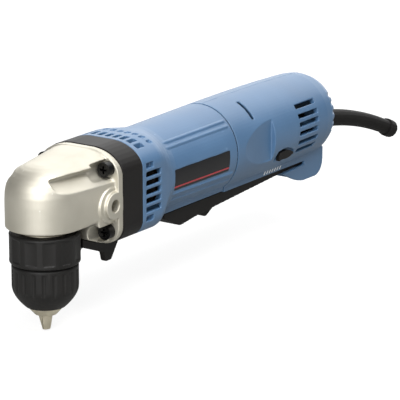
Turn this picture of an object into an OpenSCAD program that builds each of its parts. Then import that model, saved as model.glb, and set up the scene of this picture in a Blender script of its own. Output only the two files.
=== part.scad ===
// Right angle drill with a keyless chuck, a paddle switch and a series wound motor.
// The origin is the tip of the closed jaws on the spindle axis.
// +Z runs up the spindle, +X runs back along the motor to the cord guard.

/* [Layout] */
// Height of the motor axis above the closed jaw tips
motor_z = 67.5; // [64:0.5:72]
// Spindle axis to the rear face of the gear head
head_l = 33.7; // [32:0.1:38]
// Length of the motor bracket ring
bracket_l = 17.1; // [16:0.1:22]
// Length of the motor housing
motor_l = 92.2; // [90:0.1:100]
// Length of the rear cover
cover_l = 108.4; // [104:0.1:120]
// Running clearance between pieces that pass each other
gap = 0.4; // [0.3:0.05:0.6]
// Radial clearance of a shaft in its bush
fit = 0.04; // [0.02:0.01:0.08]

/* [Gear head] */
// Radius of the round front of the head
head_r = 20.6; // [19.5:0.1:23]
// Height of the head above the motor axis
head_rise = 22.7; // [21:0.1:25]
// Height of the lower rim of the head
head_rim_z = 56.5; // [56:0.1:57.5]
// Half width of the head at its flange
flank_hw = 23.6; // [22.8:0.1:24.4]
// Thickness of the flange of the head
flange_t = 4; // [3:0.1:5]
// Half width of the flange
flange_hw = 26.4; // [26:0.1:28]
// Half height of the flange
flange_hh = 25.3; // [25:0.1:27]
// Radius of the lower corners of the flange
flange_corner_r = 10.5; // [9.5:0.1:12]
// Width that the upper corners of the flange have beyond that radius
flange_top_w = 9.5; // [8:0.1:10.5]
// Height that the upper corners of the flange have beyond that radius
flange_top_h = 3; // [2:0.1:4]
// Distance of the flange screws to either side of the motor axis
screw_y = 19.8; // [19.6:0.1:20.6]
// Distance of the upper flange screws above the motor axis
screw_dz = 16.2; // [16:0.1:17]
// Distance of the lower flange screws below the motor axis
screw_drop = 17.8; // [17:0.1:18.2]
// Tapping radius of the two side handle holes
handle_hole_r = 3.4; // [3:0.05:4.5]
// Spindle axis to the side handle holes
handle_x = 27; // [26:0.1:27.5]
// Side handle holes below the motor axis
handle_drop = 2.8; // [2:0.1:3.5]

/* [Chuck] */
// Radius of the rear sleeve
rear_sleeve_r = 18.75; // [18.3:0.05:20]
// Radius of the front sleeve
front_sleeve_r = 17.7; // [17.3:0.05:18.2]
// Radius of the chuck body
chuck_body_r = 13; // [12.6:0.1:13.4]
// Radius of the bit bore
bit_bore_r = 5.25; // [5:0.05:5.6]
// Radius of one jaw
jaw_r = 3; // [2.8:0.05:3.1]
// Lean of the jaws to the spindle axis
jaw_lean = 15; // [14:0.5:16]
// Height of one jaw
jaw_h = 25.5; // [24:0.1:27]
// Radius of the smallest bit that the jaws hold
jaw_bore_r = 0.75; // [0.6:0.05:1]

/* [Gears] */
// Teeth of the bevel pinion
pinion_teeth = 11; // [10:1:12]
// Teeth of the bevel gear
wheel_teeth = 30; // [28:1:31]
// Module of the bevel gears at their outer ends
bevel_m = 1; // [0.95:0.01:1.03]
// Face width of the bevel gears
bevel_face = 5; // [4:0.1:5.5]
// Teeth of the motor pinion
motor_teeth = 7; // [7:1:8]
// Teeth of the drive gear
drive_teeth = 24; // [23:1:25]
// Module of the motor pinion and the drive gear
drive_m = 0.7; // [0.68:0.01:0.72]
// Width of the drive gear
drive_gear_w = 6.5; // [5:0.1:7]
// Thinning of every tooth for backlash
backlash = 0.12; // [0.08:0.01:0.16]

/* [Motor] */
// Radius of the motor housing behind its shoulder
motor_r = 24.6; // [24.2:0.1:25]
// Radius of the motor housing at the rear cover
seam_r = 25.6; // [25.2:0.1:26]
// Radius of the motor bore
motor_bore_r = 22.3; // [22:0.1:22.5]
// Radius of the fan
fan_r = 20.5; // [19:0.1:21]
// Radius of the field core
field_r = 21.9; // [21.5:0.1:22]
// Rear face of the motor bracket to the field core
field_inset = 32; // [30:0.5:36]
// Radius of the armature core
armature_r = 14.8; // [14:0.1:15]
// Radius of the armature shaft
shaft_r = 4; // [3.8:0.05:4.2]
// Radius of the commutator
commutator_r = 9.5; // [9:0.1:10]

/* [Rear cover] */
// Largest radius of the rear cover
cover_r = 26; // [25.7:0.1:26.6]
// Wall of the rear cover
cover_wall = 2.6; // [2.2:0.1:3]
// Half width of the skirts beside the paddle
skirt_hw = 15.6; // [15.4:0.1:16.4]
// Height of the lower edge of the skirts
skirt_z = 44; // [43.5:0.1:45]
// Height of the underside of the rear foot
foot_z = 32.1; // [31:0.1:33]
// Radius of the cord guard at the cover
guard_r = 5.6; // [5.3:0.1:5.8]
// Radius of the bore of the cord guard
guard_bore_r = 3.3; // [3:0.1:3.6]

/* [Controls] */
// Half width of the paddle
paddle_hw = 13.2; // [12.8:0.1:13.3]
// Turn of the paddle from rest to fully pressed
paddle_turn = 1.4; // [1:0.1:1.6]
// Wall of the paddle
paddle_wall = 2; // [1.6:0.1:2.2]
// Radius of the paddle pin
paddle_pin_r = 1.8; // [1.5:0.05:2]
// Half width of the lock lever
lock_hw = 5; // [4:0.1:6]

/* [Lamp] */
// Half width of the lamp housing
lamp_hw = 12; // [11:0.1:13]
// Height of the lowest point of the lamp housing
lamp_z = 29.5; // [28.5:0.1:31]
// Radius of the lamp lens
lens_r = 2.6; // [2.2:0.1:3]

/* [Hidden] */
$fn = 64;
// Overrun of every cut
over = 1;
// Segments of a quarter arc in an outline
arc_n = 9;
// Segments of a quarter turn of a lofted shell
loft_n = 20;

// Stations along the motor axis
bracket_x = head_l;
motor_x = bracket_x + bracket_l;
seam_x = motor_x + motor_l;
rear_x = seam_x + cover_l;
head_top = motor_z + head_rise;

// Gear train
drive_c = (motor_teeth + drive_teeth) * drive_m / 2;
pinion_z = motor_z + drive_c;
wheel_pr = wheel_teeth * bevel_m / 2;
pinion_pr = pinion_teeth * bevel_m / 2;
wheel_cone = atan(wheel_teeth / pinion_teeth);
pinion_cone = 90 - wheel_cone;
cone_l = sqrt(wheel_pr * wheel_pr + pinion_pr * pinion_pr);
toe_share = (cone_l - bevel_face) / cone_l;
pressure = 20;
bevel_shift_share = 0.35;
pinion_add_share = 1.28;
wheel_add_share = 0.64;
tooth_clear_share = 0.22;
motor_shift_share = 0.5;
motor_add_share = 1.2;
drive_add_share = 0.38;

// Bearings: bore radius, outer radius and width
spindle_seat_r = 6;
spindle_brg_r = 14;
spindle_brg_w = 8;
pinion_brg_r = 8;
pinion_brg_w = 5;
front_brg_r = 11;
front_brg_w = 7;
rear_seat_r = 3.5;
rear_brg_r = 9.5;
rear_brg_w = 6;
ball_share = 0.27;
race_share = 0.3;
ball_count = 7;

// Spindle heights
retainer_t = 2;
spindle_brg_z = head_rim_z + retainer_t;
wheel_body_share = 4.9;
wheel_back_z = pinion_z - pinion_pr - wheel_body_share * bevel_m;
wheel_hub_r = 8.4;
wheel_bore_r = 5.5;
spindle_neck_r = 4.8;
journal_r = 4;
bush_r = 5.6;
bush_l = 5.6;
bush_roof = 3.8;
bush_z = head_top - bush_roof - bush_l;
collar_r = 8.2;
chuck_drop = 2.4;
chuck_top_z = head_rim_z - chuck_drop;
thread_r = 4.75;

// Places on the pinion shaft and the armature
pinion_heel_x = wheel_pr;
pinion_shoulder_l = 2.6;
pinion_brg_x = pinion_heel_x + pinion_shoulder_l;
drive_gear_inset = 1.2;
drive_gear_x = head_l + drive_gear_inset;
drive_gear_room = 1.1;
bulkhead_x = drive_gear_x + drive_gear_w + drive_gear_room;
pinion_bush_l = 3.6;
pinion_bush_r = 3.8;
pinion_tail_r = 2.5;
bush_wall = 0.4;
front_brg_x = bulkhead_x + pinion_bush_l + bush_wall;
fan_inset = 5;
fan_x = motor_x + fan_inset;
fan_l = 9;
fan_plate_t = 1.6;
fan_blades = 14;
baffle_gap = 2;
baffle_x = fan_x + fan_l + baffle_gap;
baffle_t = 1.5;
rear_plate_inset = 3.1;
rear_plate_x = seam_x - rear_plate_inset;
rear_plate_t = 3;
commutator_l = 11;
commutator_clear = 1.1;
commutator_x = rear_plate_x - commutator_clear - commutator_l;
commutator_gap = 7;
field_x = motor_x + field_inset;
field_l = commutator_x - commutator_gap - field_x;
rear_brg_inset = 1.2;
rear_brg_x = seam_x + rear_brg_inset;

// Chuck heights
nose_z = 8.6;
nose_tip_r = 6;
nose_bevel = 4.2;
neck_l = 5.9;
nose_r = 9.8;
front_sleeve_z = 13;
front_sleeve_top = 36.4;
rear_sleeve_z = 37;
nut_z = 20.4;
nut_h = 7.3;
nut_seat_r = 10.6;
nut_r = 13.6;
jaw_axis_r = -1.2;
jaw_gap = 0.15;
jaw_travel = 16.5;
grip_l = 12;

// Paddle: pivot, travel and outline
pivot_inset = 13;
pivot_x = rear_x - pivot_inset;
pivot_rise = 1.2;
pivot_z = skirt_z + pivot_rise;
paddle_inset = 37.8;
paddle_front_x = motor_x + paddle_inset;
paddle_rise = (pivot_x - paddle_front_x) * sin(paddle_turn);
plunger_inset = 36;
plunger_x = seam_x + plunger_inset;
plunger_rise = (pivot_x - plunger_x) * sin(paddle_turn);
roof_rise = 4.6;
roof_z = skirt_z + roof_rise;
lock_inset = 51.5;
lock_x = paddle_front_x + lock_inset;

// Colours of the pieces
moulded_blue = [0.27, 0.42, 0.60];
cast_silver = [0.80, 0.79, 0.75];
moulded_black = [0.12, 0.11, 0.11];
bright_steel = [0.78, 0.76, 0.70];
dark_steel = [0.35, 0.35, 0.36];
copper = [0.72, 0.42, 0.25];
brass = [0.75, 0.62, 0.32];
clear_white = [0.85, 0.9, 0.95];
board_green = [0.15, 0.35, 0.2];

// Round bar along X
module rod_x(r, x, l, y = 0, z = motor_z) {
    translate([x, y, z]) rotate([0, 90, 0]) cylinder(r = r, h = l);
}

// Tube along X
module pipe_x(ro, ri, x, l, y = 0, z = motor_z) {
    difference() {
        rod_x(ro, x, l, y, z);
        rod_x(ri, x - over, l + 2 * over, y, z);
    }
}

// Round bar along Y
module rod_y(r, y, l, x, z) {
    translate([x, y, z]) rotate([-90, 0, 0]) cylinder(r = r, h = l);
}

// Tube along Z on the spindle axis
module pipe_z(ro, ri, z, h) {
    translate([0, 0, z]) difference() {
        cylinder(r = ro, h = h);
        translate([0, 0, -over]) cylinder(r = ri, h = h + 2 * over);
    }
}

// Block from its lowest to its highest corner
module block(a, b) {
    translate(a) cube(b - a);
}

// Outline in the YZ plane drawn out along X
module prism_x(points, x, l) {
    translate([x, 0, 0]) rotate([90, 0, 90]) linear_extrude(height = l) polygon(points);
}

// Outline in the XZ plane drawn out along Y between two places
module prism_y(points, y0, y1) {
    translate([0, y1, 0]) rotate([90, 0, 0]) linear_extrude(height = y1 - y0) polygon(points);
}

// Both sides of the middle plane
module both_sides() {
    children();
    mirror([0, 1, 0]) children();
}

// Rounded rectangle about the motor axis, with n points to a corner; top widens the upper corners
function rounded(hw, hh, r, n, z = 0, top = [0, 0]) = [
    for (c = [0 : 3], j = [0 : n - 1])
        let (a = 90 * c + 90 * (j + 0.5) / n, ry = r + (c < 2 ? top[0] : 0), rz = r + (c < 2 ? top[1] : 0))
        [sign(cos(a)) * (hw - ry) + ry * cos(a), z + sign(sin(a)) * (hh - rz) + rz * sin(a)]
];

// Points of an arc
function arc(x, z, r, a0, a1, n) = [
    for (i = [0 : n]) let (a = a0 + (a1 - a0) * i / n) [x + r * cos(a), z + r * sin(a)]
];

// Closed shell through rings of equal point counts; each ring is a list of 3D points
module loft(rings) {
    n = len(rings[0]);
    m = len(rings);
    polyhedron(
        points = [for (ring = rings, p = ring) p],
        faces = concat(
            [[for (i = [n - 1 : -1 : 0]) i]],
            [for (k = [0 : m - 2], i = [0 : n - 1], h = [0, 1])
                let (a = k * n + i, b = k * n + (i + 1) % n, c = a + n, d = b + n)
                h == 0 ? [a, b, d] : [a, d, c]],
            [[for (i = [0 : n - 1]) (m - 1) * n + i]]));
}

// Ring of revolution through loops of equal point counts, last loop joined to the first
module loop_loft(rings) {
    n = len(rings[0]);
    m = len(rings);
    polyhedron(
        points = [for (ring = rings, p = ring) p],
        faces = [for (k = [0 : m - 1], i = [0 : n - 1], h = [0, 1])
            let (q = (k + 1) % m, a = k * n + i, b = k * n + (i + 1) % n,
                c = q * n + i, d = q * n + (i + 1) % n)
            h == 0 ? [a, b, d] : [a, d, c]]);
}

// The same list from its end to its start
function reversed(l) = [for (i = [len(l) - 1 : -1 : 0]) l[i]];

// Shell section at x: half width, half height, corner radius and widening of the upper corners
function section(x, hw, hh, r, top = [0, 0]) =
    reversed([for (p = rounded(hw, hh, r, loft_n, 0, top)) [x, p[0], motor_z + p[1]]]);

// Involute angle of a pressure angle, in degrees
function involute(a) = tan(a) * 180 / PI - a;

// Half the tooth angle at radius r for pitch radius rp and pitch tooth thickness s
function half_angle(r, rp, s) =
    let (rb = rp * cos(pressure))
    s / rp * 90 / PI + involute(pressure) - (r > rb ? involute(acos(rb / r)) : 0);

// One tooth from root to tip and back: radius and angle
function tooth(rp, root, tip, s, steps) =
    let (radii = [for (i = [0 : steps]) root + (tip - root) * i / steps])
    concat(
        [for (r = radii) [r, -half_angle(r, rp, s)]],
        [for (i = [steps : -1 : 0]) [radii[i], half_angle(radii[i], rp, s)]]);

// Flat gear outline, with the middle of one tooth at the given angle
function gear_outline(teeth, m, root, tip, s, start) = [
    for (i = [0 : teeth - 1], p = tooth(teeth * m / 2, root, tip, s, 4))
        let (a = start + i * 360 / teeth + p[1])
        [p[0] * cos(a), p[0] * sin(a)]
];

// Bevel tooth ring about local Z with its apex at the origin
module bevel_ring(teeth, cone, pitch_r, add, ded, s, start, back, bore_r) {
    rv = pitch_r / cos(cone);
    profile = tooth(rv, rv - ded, rv + add, s, 3);
    heel = reversed([for (i = [0 : teeth - 1], p = profile)
        let (a = start + i * 360 / teeth + p[1] / cos(cone), r = p[0] * cos(cone),
            h = cone_l * cos(cone) - (p[0] - rv) * sin(cone))
        [r * cos(a), r * sin(a), h]]);
    toe = [for (p = heel) p * toe_share];
    root_r = (rv - ded) * cos(cone);
    toe_h = min([for (p = toe) p[2]]);
    per = len(profile);
    function level(r, h) = reversed([for (i = [0 : teeth * per - 1])
        let (a = start + (i - (per - 1) / 2) * 360 / (teeth * per)) [r * cos(a), r * sin(a), h]]);
    loop_loft([level(bore_r, toe_h), toe, heel, level(root_r, back), level(bore_r, back)]);
}

// Outer ring and balls of a bearing along local Z
module bearing_outer(bore_r, outer_r, w) {
    mid = (bore_r + outer_r) / 2;
    ball = (outer_r - bore_r) * ball_share;
    difference() {
        cylinder(r = outer_r, h = w);
        translate([0, 0, -over]) cylinder(r = outer_r - (outer_r - bore_r) * race_share, h = w + 2 * over);
        translate([0, 0, w / 2]) rotate_extrude() translate([mid, 0]) circle(r = ball + fit);
    }
    for (i = [0 : ball_count - 1])
        rotate(i * 360 / ball_count) translate([mid, 0, w / 2]) sphere(r = ball);
}

// Inner ring of a bearing along local Z
module bearing_inner(bore_r, outer_r, w) {
    mid = (bore_r + outer_r) / 2;
    ball = (outer_r - bore_r) * ball_share;
    difference() {
        cylinder(r = bore_r + (outer_r - bore_r) * race_share, h = w);
        translate([0, 0, -over]) cylinder(r = bore_r, h = w + 2 * over);
        translate([0, 0, w / 2]) rotate_extrude() translate([mid, 0]) circle(r = ball + 2 * fit);
    }
}

// Pan head screw along local Z, head at the start, with a cross recess
module pan_screw(head_r_, head_h, shank_r, length) {
    recess_w_share = 0.3;
    recess_l_share = 1.1;
    recess_d_share = 0.5;
    difference() {
        cylinder(r = head_r_, h = head_h);
        for (a = [0, 90]) rotate(a)
            cube([head_r_ * recess_l_share, head_r_ * recess_w_share, head_h * recess_d_share * 2],
                center = true);
    }
    translate([0, 0, head_h]) cylinder(r = shank_r, h = length);
}

// Coil spring along local Z: one tube of six sides
module coil(r, wire, length, turns) {
    steps = 10;
    sides = 6;
    loft([for (k = [0 : turns * steps])
        let (a = 360 * k / steps, h = wire + (length - 2 * wire) * k / (turns * steps))
        [for (j = [0 : sides - 1]) let (b = -360 * j / sides, q = r + wire * cos(b))
            [q * cos(a), q * sin(a), h + wire * sin(b)]]]);
}

// Places of the four flange screws
module at_flange_screws() {
    for (y = [-1, 1], h = [screw_dz, -screw_drop]) translate([0, y * screw_y, motor_z + h]) children();
}

/* Gear head */
flange_screw_r = 2.1;
flange_screw_head_r = 4;
flange_screw_head_h = 4.6;
flange_screw_l = 31;
dome_power_share = 0.78;
dome_base_share = 0.42;
flank_rise = 11.8;
flank_top = motor_z + flank_rise;
flank_corner = 5;
flank_round_w = 13;
flank_round_h = 8;
crown_sink = 0.4;
crown_top = motor_z + flange_hh - crown_sink;
flange_top = [flange_top_w, flange_top_h];
groove_r = 1.4;
groove_x = -10;
groove_front_y = 11;
groove_floor_y = 15.2;
groove_mouth = 15;
groove_low = 9.6;
groove_high = 4.6;
lower_box_x = 17.5;
lower_box_hw = 22.6;
lower_box_corner = 9;
lower_front_z = 46.6;
boss_r = 9.6;
boss_face_r = 7.4;
chamber_r = 17.2;
tunnel_r = 7.6;
handle_hole_l = 14;
pocket_r = 5.1;
pocket_x = 17;
lower_pocket_x = 15.4;
retainer_r = 17;

// Room round the turning chuck
module chuck_room() {
    cylinder(r = rear_sleeve_r + 2 * gap, h = head_rim_z - gap);
}

// Round front of the head, closed by a dome
module head_lobe() {
    base = head_rim_z + (head_top - head_rim_z) * dome_base_share;
    rotate_extrude() polygon(concat(
        [[0, head_rim_z], [head_r, head_rim_z]],
        [for (i = [0 : arc_n]) let (a = 90 * i / arc_n)
            [head_r * pow(cos(a), dome_power_share),
                base + (head_top - base) * pow(sin(a), dome_power_share)]]));
}

module head_outer() {
    hull() {
        head_lobe();
        prism_x(rounded(flank_hw, (crown_top - head_rim_z) / 2, flank_corner, arc_n,
            (crown_top + head_rim_z) / 2,
            [flank_round_w, flank_round_h]), head_l - flange_t - over, over);
    }
    difference() {
        prism_x(rounded(lower_box_hw, (flank_top - motor_z + flange_hh) / 2 - gap, lower_box_corner, 6,
            (flank_top + motor_z - flange_hh) / 2), lower_box_x, head_l - flange_t / 2 - lower_box_x);
        prism_y([[lower_box_x - over, motor_z - flange_hh - over],
            [head_l - flange_t, motor_z - flange_hh - over],
            [head_l - flange_t, motor_z - flange_hh], [lower_box_x, lower_front_z],
            [lower_box_x - over, lower_front_z]], -flange_hw, flange_hw);
    }
    prism_x(rounded(flange_hw, flange_hh, flange_corner_r, arc_n, motor_z, flange_top), head_l - flange_t,
        flange_t);
    intersection() {
        both_sides() {
            rod_y(boss_r, 0, flank_hw + gap, handle_x - gap, motor_z - handle_drop);
            rod_y(boss_face_r, 0, flange_hw, handle_x, motor_z - handle_drop);
        }
        block([0, -2 * flange_hw, 0], [head_l, 2 * flange_hw, 2 * motor_z]);
    }
}

module gear_head() color(cast_silver) difference() {
    head_outer();
    // Gear chamber, bearing seat and retainer seat
    translate([0, 0, spindle_brg_z + spindle_brg_w])
        cylinder(r = chamber_r, h = pinion_z - spindle_brg_z - spindle_brg_w);
    translate([0, 0, head_rim_z - over])
        cylinder(r = spindle_brg_r, h = spindle_brg_w + retainer_t + 2 * over);
    translate([0, 0, head_rim_z - over]) cylinder(r = retainer_r, h = retainer_t + over);
    translate([0, 0, pinion_z - over]) cylinder(r = bush_r, h = bush_z + bush_l - pinion_z + over);
    // Pinion tunnel, its bearing seat and the drive gear side
    rod_x(tunnel_r, pinion_heel_x * toe_share - over, head_l, 0, pinion_z);
    rod_x(pinion_brg_r, pinion_brg_x, head_l, 0, pinion_z);
    // Lightening pocket behind the chuck
    block([lower_box_x + 2 * retainer_t, -screw_y + 2 * pocket_r, motor_z - flange_hh + 3 * retainer_t],
        [head_l + over, screw_y - 2 * pocket_r, head_rim_z]);
    both_sides() {
        rod_y(handle_hole_r, flange_hw - handle_hole_l, handle_hole_l + over, handle_x,
            motor_z - handle_drop);
        // Groove to each upper screw, and the pockets of the screw heads
        hull() for (p = [[groove_r, 0], [groove_mouth, -groove_low], [groove_mouth, groove_high]]) {
            translate([groove_x, groove_front_y + p[0], motor_z + screw_dz + p[1]])
                sphere(r = groove_r, $fn = 24);
            rod_x(groove_r, head_l - flange_t - over, over, groove_floor_y + p[0], motor_z + screw_dz + p[1]);
        }
        rod_x(pocket_r, pocket_x, head_l - flange_t - pocket_x, screw_y, motor_z + screw_dz);
        rod_x(pocket_r, lower_pocket_x, head_l - flange_t - lower_pocket_x, screw_y, motor_z - screw_drop);
        block([lower_pocket_x, screw_y - pocket_r + over, motor_z - screw_drop - pocket_r],
            [head_l - flange_t, flange_hw + over, motor_z - screw_drop]);
    }
    at_flange_screws() rod_x(flange_screw_r + fit, 0, head_l + over, 0, 0);
    chuck_room();
}

module head_screws() color(dark_steel) at_flange_screws()
    translate([head_l - flange_t - flange_screw_head_h, 0, 0]) rotate([0, 90, 0])
        pan_screw(flange_screw_head_r, flange_screw_head_h, flange_screw_r, flange_screw_l);

/* Spindle */
screw_hole_r = 2.5;
screw_hole_l = 11;

module spindle() color(bright_steel) difference() {
    rotate_extrude() polygon([
        [0, chuck_top_z - screw_hole_l], [thread_r, chuck_top_z - screw_hole_l], [thread_r, chuck_top_z],
        [collar_r, chuck_top_z], [collar_r, spindle_brg_z], [spindle_seat_r, spindle_brg_z],
        [spindle_seat_r, wheel_back_z - gap], [wheel_bore_r, wheel_back_z - gap],
        [wheel_bore_r, pinion_z - pinion_pr + gap], [spindle_neck_r, pinion_z - pinion_pr + gap],
        [spindle_neck_r, bush_z - gap], [journal_r, bush_z - gap],
        [journal_r, bush_z + bush_l - gap], [0, bush_z + bush_l - gap]]);
    translate([0, 0, chuck_top_z - screw_hole_l - over]) cylinder(r = screw_hole_r, h = screw_hole_l + over);
}

module bevel_gear() color(dark_steel) difference() {
    union() {
        translate([0, 0, pinion_z]) rotate([180, 0, 0])
            bevel_ring(wheel_teeth, wheel_cone, wheel_pr, wheel_add_share * bevel_m,
                (pinion_add_share + tooth_clear_share) * bevel_m,
                (PI / 2 - 2 * bevel_shift_share * tan(pressure)) * bevel_m - backlash,
                180 / wheel_teeth, pinion_z - wheel_back_z, wheel_hub_r - gap);
        translate([0, 0, wheel_back_z - gap])
            cylinder(r = wheel_hub_r, h = pinion_z - pinion_pr - wheel_back_z + gap);
    }
    translate([0, 0, wheel_back_z - gap - over])
        cylinder(r = wheel_bore_r, h = pinion_z - wheel_back_z + 2 * over);
}

module spindle_bearing_outer() color(bright_steel)
    translate([0, 0, spindle_brg_z]) bearing_outer(spindle_seat_r, spindle_brg_r, spindle_brg_w);

module spindle_bearing_inner() color(bright_steel)
    translate([0, 0, spindle_brg_z]) bearing_inner(spindle_seat_r, spindle_brg_r, spindle_brg_w);

module bearing_retainer() color(dark_steel) difference() {
    pipe_z(retainer_r, collar_r + gap, head_rim_z, retainer_t);
    translate([0, 0, head_rim_z - over])
        cylinder(r = collar_r + 2 * gap + retainer_t, h = over + retainer_t / 2);
}

module spindle_seal() color(moulded_black)
    pipe_z(collar_r + 2 * gap + retainer_t - fit, collar_r + fit, head_rim_z - gap,
        gap + retainer_t / 2 - fit);

module spindle_bush() color(brass) pipe_z(bush_r, journal_r + fit, bush_z, bush_l);

/* Chuck */
web_t = 3;
web_z = chuck_top_z - screw_hole_l - web_t;
rear_hollow = 1.5;
rear_inner_r = chuck_body_r + rear_hollow;
rear_flutes = 12;
rear_flute_r = 16;
rear_flute_depth = 0.7;
rear_band = 2.2;
front_flutes = 20;
front_flute_r = 1.5;
front_flute_depth = 0.55;
taper_z = 24.4;
taper_power_share = 1.8;
nose_clear = 0.45;
front_open_r = nose_r + nose_clear;
sleeve_edge = 0.8;
chuck_screw_head_h = 2.6;
chuck_screw_head_r = 4;
chuck_screw_l = 9.5;

// Children along the line that a jaw slides on
module on_jaw_line() {
    translate([jaw_axis_r, 0, 0]) rotate([0, jaw_lean, 0]) children();
}

module chuck_body() color(bright_steel) difference() {
    rotate_extrude() polygon([
        [0, nose_z], [nose_tip_r, nose_z], [nose_r, nose_z + nose_bevel], [nose_r, nut_z - neck_l],
        [nut_seat_r, nut_z - nose_bevel], [nut_seat_r, nut_z + nut_h + gap],
        [chuck_body_r, nut_z + nut_h + gap], [chuck_body_r, chuck_top_z], [0, chuck_top_z]]);
    translate([0, 0, nose_z - over]) cylinder(r = bit_bore_r, h = web_z - nose_z + over);
    translate([0, 0, web_z - over]) cylinder(r = screw_hole_r + fit, h = chuck_top_z);
    translate([0, 0, chuck_top_z - screw_hole_l]) cylinder(r = thread_r, h = screw_hole_l + over);
    for (a = [0, 120, 240]) rotate(a) on_jaw_line()
        cylinder(r = jaw_r + fit, h = (jaw_h + gap) / cos(jaw_lean) + jaw_travel);
}

module chuck_rear_sleeve() color(moulded_black) difference() {
    rotate_extrude() polygon([
        [rear_inner_r, rear_sleeve_z], [rear_sleeve_r - sleeve_edge, rear_sleeve_z],
        [rear_sleeve_r, rear_sleeve_z + sleeve_edge], [rear_sleeve_r, chuck_top_z - gap - sleeve_edge],
        [rear_sleeve_r - sleeve_edge, chuck_top_z - gap], [chuck_body_r, chuck_top_z - gap],
        [chuck_body_r, (rear_sleeve_z + chuck_top_z) / 2],
            [rear_inner_r, (rear_sleeve_z + chuck_top_z) / 2]]);
    for (i = [0 : rear_flutes - 1]) rotate((i + 0.5) * 360 / rear_flutes)
        translate([rear_sleeve_r + rear_flute_r - rear_flute_depth, 0, rear_sleeve_z + rear_band])
            cylinder(r = rear_flute_r, h = chuck_top_z - rear_sleeve_z - 2 * rear_band);
}

module chuck_screw() color(dark_steel) translate([0, 0, web_z]) {
    translate([0, 0, -chuck_screw_head_h]) cylinder(r = chuck_screw_head_r, h = chuck_screw_head_h);
    cylinder(r = screw_hole_r - fit, h = chuck_screw_l);
}

module chuck_front_sleeve() color(moulded_black) difference() {
    rotate_extrude() polygon(concat(
        [[front_open_r, front_sleeve_z]],
        [for (i = [arc_n : -1 : 0]) let (s = i / arc_n)
            [front_open_r + gap + (front_sleeve_r - front_open_r - gap) * (1 - pow(s, taper_power_share)),
                taper_z - (taper_z - front_sleeve_z) * s]],
        [[front_sleeve_r, front_sleeve_top - sleeve_edge], [front_sleeve_r - sleeve_edge, front_sleeve_top],
            [rear_inner_r, front_sleeve_top], [rear_inner_r, nut_z + nut_h], [nut_r, nut_z + nut_h],
            [nut_r, nut_z], [nut_seat_r + gap, nut_z], [nut_seat_r + gap, nut_z - nose_bevel],
            [front_open_r, nut_z - neck_l - gap]]));
    for (i = [0 : front_flutes - 1]) rotate(i * 360 / front_flutes)
        translate([front_sleeve_r + front_flute_r - front_flute_depth, 0, front_sleeve_z])
            cylinder(r = front_flute_r, h = front_sleeve_top - front_sleeve_z - rear_band);
}

module chuck_nut() color(bright_steel) pipe_z(nut_r, nut_seat_r + 2 * fit, nut_z, nut_h);

// One jaw: a leaning round bar cut to a third of a circle round the bit
module jaw(i) color(bright_steel) rotate(120 * i) difference() {
    on_jaw_line() translate([0, 0, -jaw_r]) cylinder(r = jaw_r, h = jaw_h / cos(jaw_lean) + jaw_r);
    translate([0, 0, -2 * jaw_r]) cylinder(r = 4 * jaw_r, h = 2 * jaw_r);
    translate([0, 0, -over]) cylinder(r = jaw_bore_r, h = jaw_h);
    translate([0, 0, grip_l]) cylinder(r = 2 * jaw_bore_r, h = jaw_h);
    for (a = [60, -60]) rotate(a)
        translate([-4 * jaw_r, a > 0 ? -jaw_gap : -8 * jaw_r + jaw_gap, -over])
            cube([8 * jaw_r, 8 * jaw_r, 2 * jaw_h]);
}

module jaw_1() jaw(0);
module jaw_2() jaw(1);
module jaw_3() jaw(2);

/* Pinion shaft */
pinion_web = 2.2;
pinion_back_x = pinion_heel_x + pinion_web;

module bevel_pinion_shaft() color(dark_steel) {
    translate([0, 0, pinion_z]) rotate([0, 90, 0])
        bevel_ring(pinion_teeth, pinion_cone, pinion_pr, pinion_add_share * bevel_m,
            (wheel_add_share + tooth_clear_share) * bevel_m,
            (PI / 2 + 2 * bevel_shift_share * tan(pressure)) * bevel_m - backlash,
            0, pinion_back_x, pinion_tail_r - gap);
    rod_x(pinion_tail_r, pinion_heel_x * toe_share,
        bulkhead_x + pinion_bush_l - gap - pinion_heel_x * toe_share, 0, pinion_z);
    rod_x(shaft_r, pinion_back_x - gap, drive_gear_x + drive_gear_w - pinion_back_x + gap, 0, pinion_z);
}

module drive_gear() color(dark_steel) difference() {
    translate([0, 0, pinion_z]) prism_x(gear_outline(drive_teeth, drive_m,
        drive_c - (motor_teeth / 2 + motor_add_share + tooth_clear_share) * drive_m,
        (drive_teeth / 2 + drive_add_share) * drive_m,
        (PI / 2 - 2 * motor_shift_share * tan(pressure)) * drive_m - backlash,
        -90 + 180 / drive_teeth), drive_gear_x, drive_gear_w);
    rod_x(shaft_r, drive_gear_x - over, drive_gear_w + 2 * over, 0, pinion_z);
}

module pinion_bearing_outer() color(bright_steel) translate([pinion_brg_x, 0, pinion_z]) rotate([0, 90, 0])
    bearing_outer(shaft_r, pinion_brg_r, pinion_brg_w);

module pinion_bearing_inner() color(bright_steel) translate([pinion_brg_x, 0, pinion_z]) rotate([0, 90, 0])
    bearing_inner(shaft_r, pinion_brg_r, pinion_brg_w);

module pinion_bush() color(brass)
    pipe_x(pinion_bush_r, pinion_tail_r + fit, bulkhead_x, pinion_bush_l, 0, pinion_z);

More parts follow.
